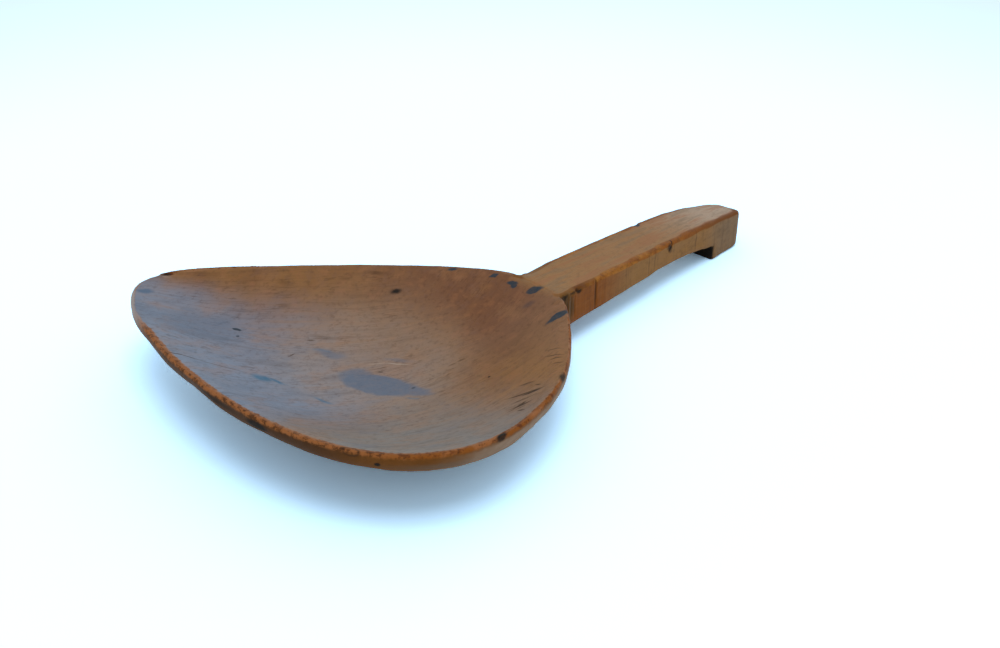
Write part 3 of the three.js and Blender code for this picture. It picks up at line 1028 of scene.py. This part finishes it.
@dataclass
class Carving:
    """The scoop itself, one piece of wood. Lengths are millimetres."""

    name: str = "carved_scoop"

    # The form that is carved
    rim_height: float = 28.5
    top_fall: float = math.tan(math.radians(3))
    bowl_back: float = 69.0
    foot: tuple[float, float] = (-6.0, 8.0)
    handle_half: float = 13.2
    handle_root: Span = (60.0, 68.0)
    handle_clear: float = 2.0
    heel_start: float = 171.5
    face_band: Span = (1.8, 4.0)
    face_outward: float = 0.6
    face_clear: float = 6.0

    # The mesh
    weld: float = 0.001
    voxel: float = 0.98
    even_passes: int = 14
    soft_passes: int = 20
    last_passes: int = 3
    edge_proud: Span = (0.14, 0.5)
    corner_sunk: Span = (-0.12, -0.45)
    crispness: float = 0.4
    rim_steps: int = 721
    fine_corners: int = 3
    fine_inset: float = 4.4
    fine_depth: float = 6.2
    fine_zones: tuple[Zone, ...] = (
        Zone(x_from=(58, 59), x_to=(92, 91), y_from=(-16, -15), y_to=(-9, -10)),
        Zone(x_from=(132, 133), x_to=(146, 145), y_from=(7, 8), z_from=(15, 16)),
        Zone(x_from=(132, 133), x_to=(146, 145), y_to=(-7, -8), z_from=(15, 16)),
    )

    # How far each stroke goes
    crest_inset: float = 0.5
    crest_slope: float = 0.3
    chipped: float = 0.4
    pared: float = 2.1
    undercut: float = 0.6
    tip_fullness: float = 0.9
    side_swell: float = 0.4
    arch: float = 0.8
    neck_rubs: int = 60
    end_rubs: int = 6
    toe_rubs: int = 3
    unevenness: float = 0.16
    waves: tuple[Wave, ...] = (Wave(34, 3, 0.5, 0.9), Wave(15, 8, 0.15, 0.35))
    flats_row: float = 15.0
    flats_first: int = 5
    flats_more: int = 6
    flats_shallow: float = 0.10
    flats_deeper: float = 0.16
    flats_reach: Span = (14.0, 24.0)
    flats_below: Span = (5.0, 9.0)

    # Where each stroke goes
    crest: Zone = Zone(inset=(9, 6), below=(6, 4), up=(0.05, 0.3))
    neck_crest: Zone = Zone(x_from=(54, 62), y_from=(-15.5, -12.5), y_to=(14.5, 11.5))
    chip: Zone = Zone(
        x_from=(-52, -37), x_to=(-34.8, -35.5), y_from=(80, 90), inset=(4, 1), below=(4, 1.5),
    )
    front_lip: Zone = Zone(
        x_from=(-56, -8), x_to=(31, -4), y_to=(-10, -20), inset=(6.5, 1.5), below=(16, 10),
    )
    under_lip: Zone = Zone(below=(2, 6))
    long_corner: Zone = Zone(x_to=(-36, -46), y_from=(66, 94), inset=(6, 2))
    far_side: Zone = Zone(x_from=(72, 84), x_to=(140, 126), y_from=(6, 11))
    arched: Zone = Zone(x_from=(80, 100), x_to=(171, 158), below=(5, 11))
    neck_top: Zone = Zone(
        x_from=(52, 60), x_to=(86, 74), y_from=(-14, -10), y_to=(14, 10), up=(0.5, 0.8),
    )
    swept_end: Zone = Zone(x_from=(170, 180), y_from=(-9, 0))
    toe: Zone = Zone(x_from=(183, 189), z_to=(7, 3))
    underside: Zone = Zone(up=(0.3, -0.2))

    # Where the finish changes
    neck_face: Zone = Zone(x_from=(50, 57), y_from=(-17, -13.5), y_to=(17, 13.5), up=(0.3, 0.6))
    outer_face: Zone = Zone(inset=(1.1, 0.7))
    hollow: Zone = Zone(up=(0.1, 0.3))
    belly: Zone = Zone(up=(0.3, -0.1))
    far_rim: Zone = Zone(x_from=(-62, -48), far=(40, 52))
    far_fade: float = 0.8
    lip: Zone = Zone(below=(4.6, 3.2))
    crown_width: float = 2.7
    crown_loss: float = 1.8
    crown_narrows: Zone = Zone(x_from=(-22, 20))
    # At the tip the crown is narrower and gets a painted highlight
    tip: Zone = Zone(x_to=(-33, -36), y_from=(72, 90))
    tip_lip: Zone = Zone(below=(3.5, 1.5))
    tip_narrowing: float = 0.5
    top: Zone = Zone(up=(0.45, 0.8))
    upper_edge: Zone = Zone(up=(0.05, 0.35))
    edge_blurs: int = 2
    edge_end: Zone = Zone(x_from=(136, 168))
    edge_fade: float = 0.45
    # Painted shade, near black, goes on the hook's inner face and in the sunk corners, which also
    # hold some grime
    hook_face: Zone = Zone(
        x_from=(heel_start - 1.5, heel_start - 0.4), z_to=(10, 9), ahead=(-0.35, -0.75),
    )
    grime_share: float = 0.5
    grime_top: float = 26.0

    def build(self) -> bpy.types.Object:
        """Model the piece.

        Returns:
            The finished object.
        """
        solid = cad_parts[NODE]
        piece = bpy.data.objects.new(self.name, solid.data.copy())
        bpy.context.scene.collection.objects.link(piece)
        self._select(piece)
        bpy.ops.object.mode_set(mode="EDIT")
        bpy.ops.mesh.select_all(action="SELECT")
        bpy.ops.mesh.remove_doubles(threshold=self.weld * MM)
        bpy.ops.object.mode_set(mode="OBJECT")
        bpy.ops.object.modifier_add(type="REMESH")
        remesh = piece.modifiers[-1]
        remesh.mode = "VOXEL"
        remesh.voxel_size = self.voxel * MM
        bpy.ops.object.modifier_apply(modifier=remesh.name)
        surface = Surface(piece)
        surface.even(self.even_passes)
        self._find_edges(surface)
        surface.write()
        self._refine(piece)
        surface = Surface(piece)
        surface.even(self.last_passes)
        self._carve(surface)
        self._mark_places(surface)
        low, high = (np.array(corner) / MM for corner in CAD_BOX)
        surface.points = np.clip(surface.points, low, high)
        surface.write()
        self._select(piece)
        bpy.ops.object.shade_smooth()
        return piece

    def dress(self, piece: bpy.types.Object) -> None:
        """Give the piece its finish and its place in the frame.

        Args:
            piece: The finished object.
        """
        piece.data.materials.clear()
        piece.data.materials.append(OldWood().material())
        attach(piece, BODY)
        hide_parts(NODE)

    @staticmethod
    def _select(piece: bpy.types.Object) -> None:
        """Make a piece the only one that operators act on."""
        bpy.ops.object.select_all(action="DESELECT")
        piece.select_set(True)
        bpy.context.view_layer.objects.active = piece

    def _below_top(self, points: np.ndarray) -> np.ndarray:
        """Give how far each point lies under the planed top face."""
        return self.rim_height - points[:, 0] * self.top_fall - points[:, 2]

    def _spokes(self, points: np.ndarray) -> tuple[np.ndarray, np.ndarray, np.ndarray]:
        """Give each point's direction and distance from the foot in plan.

        Args:
            points: One place in each row.

        Returns:
            Unit directions, distances and angles.
        """
        spoke = points[:, :2] - np.array(self.foot)
        reach = np.linalg.norm(spoke, axis=1)
        return spoke / reach[:, None], reach, np.arctan2(spoke[:, 1], spoke[:, 0])

    def _inset(self, surface: Surface) -> np.ndarray:
        """Give how far in from the rim's outer face each point lies, in plan.

        Args:
            surface: The carving.

        Returns:
            Distances, less than 0 outside the rim.
        """
        below = self._below_top(surface.points)
        spoke, reach, angle = self._spokes(surface.points)
        outward = (surface.normals()[:, :2] * spoke).sum(1)
        upper, lower = self.face_band
        face = (below > upper) & (below < lower) & (outward > self.face_outward)
        face &= surface.points[:, 0] < self.bowl_back - self.face_clear
        order = np.argsort(angle[face])
        turns = np.linspace(-math.pi, math.pi, self.rim_steps)
        rim = np.interp(turns, angle[face][order], reach[face][order], period=math.tau)
        slant = np.gradient(rim, turns)
        square = rim / np.hypot(rim, slant)
        return (np.interp(angle, turns, rim) - reach) * np.interp(angle, turns, square)

    def _measure(self, surface: Surface) -> dict[str, np.ndarray]:
        """Measure where each vertex lies and which way it faces, for the zones.

        Args:
            surface: The carving.

        Returns:
            The measures by name. The places follow the vertices as they move, and the rest don't.
        """
        normal = surface.normals()
        x, y, z = surface.points.T
        return {
            "x": x,
            "y": y,
            "z": z,
            "inset": self._inset(surface),
            "below": self._below_top(surface.points),
            "far": surface.points[:, :2] @ np.array(FAR_HEADING),
            "up": normal[:, 2],
            "ahead": normal[:, 0],
        }

    def _find_edges(self, surface: Surface) -> None:
        """Store where edges stand out and where corners are sunk, and make the edges crisper.

        Args:
            surface: The evened surface.
        """
        soft = surface.points
        for _ in range(self.soft_passes):
            soft = soft + surface.rub * (surface.around(soft) - soft)
        normal = surface.normals()
        proud = ((surface.points - soft) * normal).sum(1)
        surface.keep("arris", ease(proud, *self.edge_proud))
        surface.keep("sunk", ease(proud, *self.corner_sunk))
        surface.points += normal * (self.crispness * np.maximum(proud, 0))[:, None]

    def _refine(self, piece: bpy.types.Object) -> None:
        """Divide the faces finer along the rim and where the wood is torn.

        Args:
            piece: The carving.
        """
        at = self._measure(Surface(piece))
        fine = (np.abs(at["inset"]) < self.fine_inset) & (at["below"] < self.fine_depth)
        for zone in self.fine_zones:
            fine |= zone.share(at) > 0
        faces = piece.data.polygons
        corners = np.zeros(len(piece.data.loops), np.int32)
        piece.data.loops.foreach_get("vertex_index", corners)
        starts = np.zeros(len(faces), np.int32)
        faces.foreach_get("loop_start", starts)
        wanted = np.add.reduceat(fine[corners].astype(int), starts) >= self.fine_corners
        self._select(piece)
        bpy.context.tool_settings.mesh_select_mode = (False, False, True)
        bpy.ops.object.mode_set(mode="EDIT")
        bpy.ops.mesh.select_all(action="DESELECT")
        bpy.ops.object.mode_set(mode="OBJECT")
        faces.foreach_set("select", wanted)
        bpy.ops.object.mode_set(mode="EDIT")
        bpy.ops.mesh.subdivide(number_cuts=1)
        bpy.ops.object.mode_set(mode="OBJECT")

    def _carve(self, surface: Surface) -> None:
        """Work the form over: thin the crest of the rim, leave tool marks, and wear it.

        Args:
            surface: The carving.
        """
        at = self._measure(surface)
        wanted = np.maximum(at["inset"] - self.crest_inset, 0) * self.crest_slope
        lower = np.maximum(wanted - at["below"], 0) * self.crest.share(at)
        lower *= (at["x"] < self.bowl_back) * (1 - self.neck_crest.share(at))
        surface.points[:, 2] -= lower

        surface.points[:, 2] -= self.chipped * self.chip.share(at)
        pared = self.front_lip.share(at) * (self.pared + self.undercut * self.under_lip.share(at))
        pared -= self.tip_fullness * self.long_corner.share(at)
        spoke, _, _ = self._spokes(surface.points)
        surface.points[:, :2] -= pared[:, None] * spoke
        surface.points[:, 1] += self.side_swell * self.far_side.share(at)
        surface.points[:, 2] += self.arch * self.arched.share(at)
        surface.soothe(self.neck_top.share(at), self.neck_rubs)
        surface.soothe(self.swept_end.share(at), self.end_rubs)
        surface.soothe(self.toe.share(at), self.toe_rubs)

        under = self.underside.share(at)
        uneven = sum(wave.heights(surface.points, under) for wave in self.waves)
        surface.press(self.unevenness * uneven)
        surface.press(self._parings(surface) * under)
        for cut in CUTS:
            surface.press(cut.depths(surface.points))

    def _parings(self, surface: Surface) -> np.ndarray:
        """Give the depth of the knife's flats on the belly.

        Args:
            surface: The carving.

        Returns:
            Depths, in rows round the foot.
        """
        _, reach, angle = self._spokes(surface.points)
        row = reach / self.flats_row
        which = np.floor(row)
        turn = angle / math.tau * (self.flats_more * which + self.flats_first) + 0.5 * (which % 2)
        depth = self.flats_shallow + self.flats_deeper * chance(which, np.floor(turn))
        flat = (1 - (2 * (row % 1) - 1) ** 2) * (1 - (2 * (turn % 1) - 1) ** 2)
        belly = ease(reach, *self.flats_reach) * (surface.points[:, 0] < self.bowl_back)
        return depth * flat * belly * ease(self._below_top(surface.points), *self.flats_below)

    def _mark_places(self, surface: Surface) -> None:
        """Store where the finish changes: the lip, the worn edges, the hollow and the handle, with
        the painted highlight at the tip and the painted shade in the hook and the sunk corners.

        Args:
            surface: The carved surface.
        """
        at = self._measure(surface)
        handle = ease(at["x"], *self.handle_root) * (np.abs(at["y"]) < self.handle_half)
        handle = np.maximum(handle, at["x"] > self.bowl_back + self.handle_clear)
        neck = self.neck_face.share(at)
        outer = self.outer_face.share(at) * (1 - neck)
        dish = (1 - outer) * self.hollow.share(at) * (1 - handle)
        shown = (1 - handle) * (1 - neck) * (1 - self.far_fade * self.far_rim.share(at))
        # The tip narrows the crown and carries the painted highlight
        tip = self.tip.share(at)
        width = self.crown_width - self.crown_loss * self.crown_narrows.share(at)
        width *= 1 - self.tip_narrowing * tip
        crown = np.clip(1 - at["inset"] / width, 0, 1)
        arris = surface.kept("arris")
        for _ in range(self.edge_blurs):
            arris = (arris + surface.around(arris)) / 2
        arris *= 1 - self.edge_fade * self.edge_end.share(at)
        # Painted shade in the sunk corners, with some grime
        sunk = surface.kept("sunk") * self.grime_share * (at["z"] < self.grime_top)
        places = {
            "crown": crown * self.lip.share(at) * shown,
            "face": outer * shown,
            "depth": at["below"],
            "dish": dish,
            "belly": self.belly.share(at) * (1 - handle) * (1 - dish),
            "tip": tip * self.tip_lip.share(at),
            "handle": handle,
            "top": self.top.share(at),
            "arris": arris * handle * self.upper_edge.share(at),
            "grime": np.maximum(self.hook_face.share(at), sunk * (1 - dish) * (1 - neck)),
        }
        for name, values in places.items():
            surface.keep(name, values)


@dataclass(frozen=True)
class Lamp:
    """A soft lamp. Lengths are metres, and the power is in watts."""

    name: str
    place: Place
    size: tuple[float, float]
    power: float
    tint: Colour

    def hang(self, aim: Place) -> None:
        """Hang the lamp so that it faces a point.

        Args:
            aim: The point.
        """
        bpy.ops.object.light_add(type="AREA", location=self.place)
        lamp = bpy.context.object
        lamp.name = self.name
        lamp.rotation_mode = "QUATERNION"
        lamp.rotation_quaternion = (Vector(aim) - Vector(self.place)).to_track_quat("-Z", "Y")
        lamp.data.shape = "RECTANGLE"
        lamp.data.size, lamp.data.size_y = self.size
        lamp.data.energy = self.power
        lamp.data.color = self.tint[:3]


@dataclass
class Studio:
    """The floor, the lights and the camera. Lengths are metres, the lens and sensor millimetres."""

    eye: Place = (-275.59 * MM, -293.22 * MM, 268.42 * MM)
    ahead: Place = (0.63626, 0.58577, -0.50204)
    middle: Place = (0.03, 0.01, 0.02)
    lens: float = 46.8
    sensor: float = 36.0
    nearest: float = 0.01
    floor_side: float = 24.0
    pale: Colour = (0.76, 0.93, 0.95, 1.0)
    paper: Colour = (0.94, 0.94, 0.94, 1.0)
    paper_seen: Colour = (1.0, 1.5, 2.0, 1.0)
    near_and_away: Span = (0.3, 0.66)
    fill: Colour = (0.96, 1.0, 1.02, 1.0)
    fill_strength: float = 0.72
    horizon: Span = (0.03, 0.4)
    lamps: tuple[Lamp, ...] = (
        Lamp("key", (-0.33, -0.55, 2.2), (1.2, 1.2), 17.5, (1.0, 0.98, 0.95, 1.0)),
        Lamp("window", (1.75, 0.45, 0.55), (0.7, 1.4), 3.0, (0.55, 0.78, 1.0, 1.0)),
    )

    def build(self) -> None:
        """Set out the studio."""
        self._floor()
        self._lights()
        self._camera()
        bpy.context.scene.view_settings.view_transform = "Standard"

    def _floor(self) -> None:
        """Lay the pale floor, which the camera sees as white paper with a cool shadow."""
        bpy.ops.object.select_all(action="DESELECT")
        bpy.ops.mesh.primitive_plane_add(size=self.floor_side)
        floor = bpy.context.object
        floor.name = "floor"
        material = bpy.data.materials.new("pale_floor")
        tree = Tree(material)
        camera = tree.node("LightPath", {}, {}, "Is Camera Ray")
        near = tree.node("BsdfDiffuse", {}, {"Color": tree.mix(camera, self.paper, self.paper_seen)})
        away = tree.node("Emission", {}, {"Color": self.pale})
        place = tree.node("TexCoord", {}, {}, "Object")
        apart = tree.vector("DISTANCE", place, self.middle).rise(*self.near_and_away)
        shader = tree.node("MixShader", {}, {0: apart * self._looked_at(tree), 1: near, 2: away})
        tree.node("OutputMaterial", {}, {"Surface": shader})
        floor.data.materials.append(material)

    @staticmethod
    def _looked_at(tree: Tree) -> Link:
        """Tell where a surface is seen by the camera or in a reflection, not as light."""
        path = tree.node("LightPath", {}, {}, "Is Camera Ray").socket.node.outputs
        camera, glossy, clear = (
            Link(tree, path[name])
            for name in ("Is Camera Ray", "Is Glossy Ray", "Is Transmission Ray")
        )
        return camera | glossy | clear

    def _lights(self) -> None:
        """Light the scene from above, with a cool window far behind and a cool fill."""
        for lamp in self.lamps:
            lamp.hang(self.middle)
        world = bpy.data.worlds.new("studio")
        bpy.context.scene.world = world
        tree = Tree(world)
        fill = tree.node(
            "Background", {}, {"Color": self.fill, "Strength": self.fill_strength},
        )
        height = tree.split(tree.node("TexCoord", {}, {}, "Generated"))[2]
        above = height.rise(*self.horizon, 1.0, self.fill_strength)
        seen = tree.node("Background", {}, {"Color": self.pale, "Strength": above})
        sky = tree.node("MixShader", {}, {0: self._looked_at(tree), 1: fill, 2: seen})
        tree.node("OutputWorld", {}, {"Surface": sky})

    def _camera(self) -> None:
        """Set the camera at the photographed angle."""
        bpy.ops.object.camera_add(location=self.eye)
        camera = bpy.context.object
        camera.rotation_mode = "QUATERNION"
        camera.rotation_quaternion = Vector(self.ahead).to_track_quat("-Z", "Y")
        camera.data.lens = self.lens
        camera.data.sensor_width = self.sensor
        camera.data.clip_start = self.nearest
        bpy.context.scene.camera = camera


def main() -> None:
    """Build the scoop and the studio round it."""
    logging.basicConfig(level=logging.INFO, format="%(name)s: %(message)s")
    carving = Carving()
    piece = carving.build()
    carving.dress(piece)
    LOG.info("%s has %d faces", piece.name, len(piece.data.polygons))
    Studio().build()
    LOG.info("studio set")


if __name__ == "__main__":
    main()
